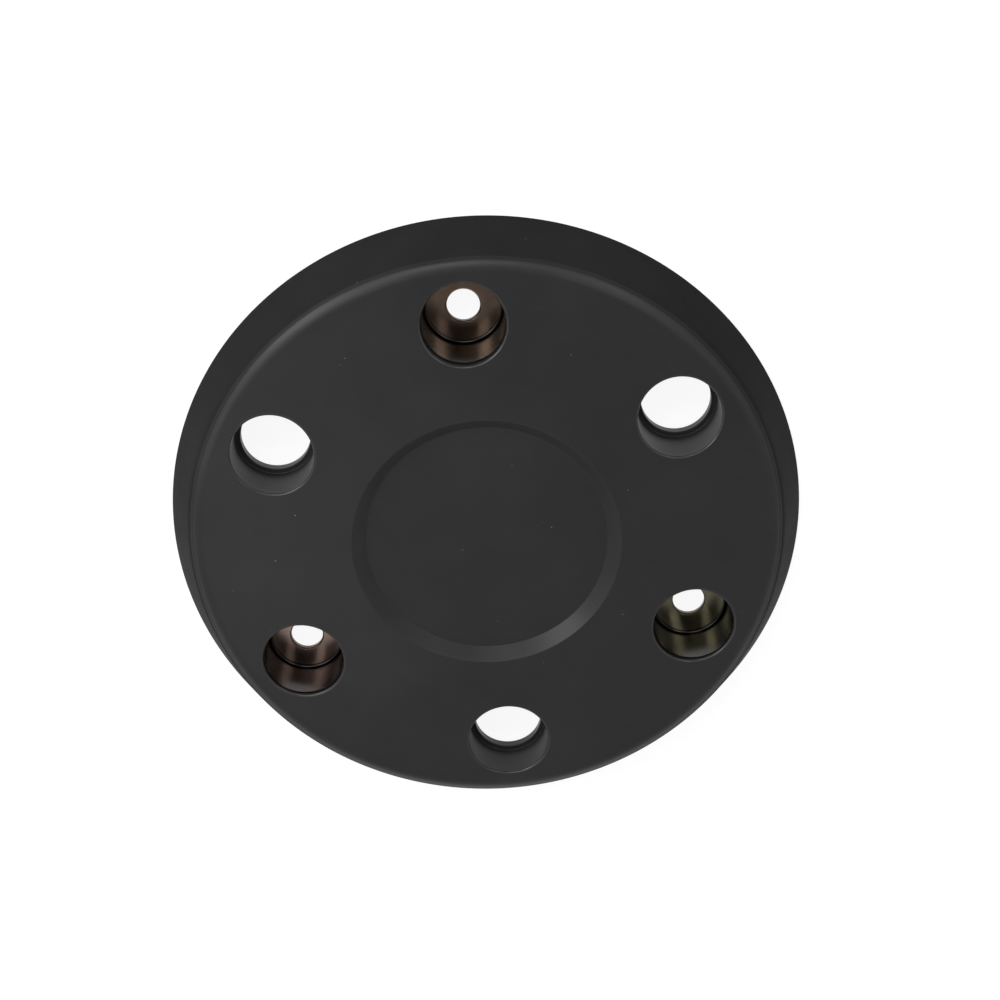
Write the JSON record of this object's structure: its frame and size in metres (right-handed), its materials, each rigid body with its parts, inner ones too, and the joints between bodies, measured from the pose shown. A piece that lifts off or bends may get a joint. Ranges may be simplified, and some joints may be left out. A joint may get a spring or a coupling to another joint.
{
  "type": "hub cap",
  "caption": "Round domed plastic hub cap with a bevelled centre recess and a ring of bolt holes, every second one lined with a drawn steel cup that the wheel bolt clamps.",
  "frame": {"origin": "centre of the back rim, in the plane on which the cap lies", "axes": "+Z along the cap's axis out of its face, +Y through the middle of one steel cup"},
  "size_m": [0.2838, 0.2838, 0.03],
  "materials": {
    "black_plastic": "fine satin grain, moulded",
    "zinc_steel": "yellow passivated zinc, satin"
  },
  "bodies": {
    "root": {"cap_shell": "black_plastic", "bolt_cup_1": "zinc_steel", "bolt_cup_2": "zinc_steel", "bolt_cup_3": "zinc_steel"}
  },
  "joints": []
}
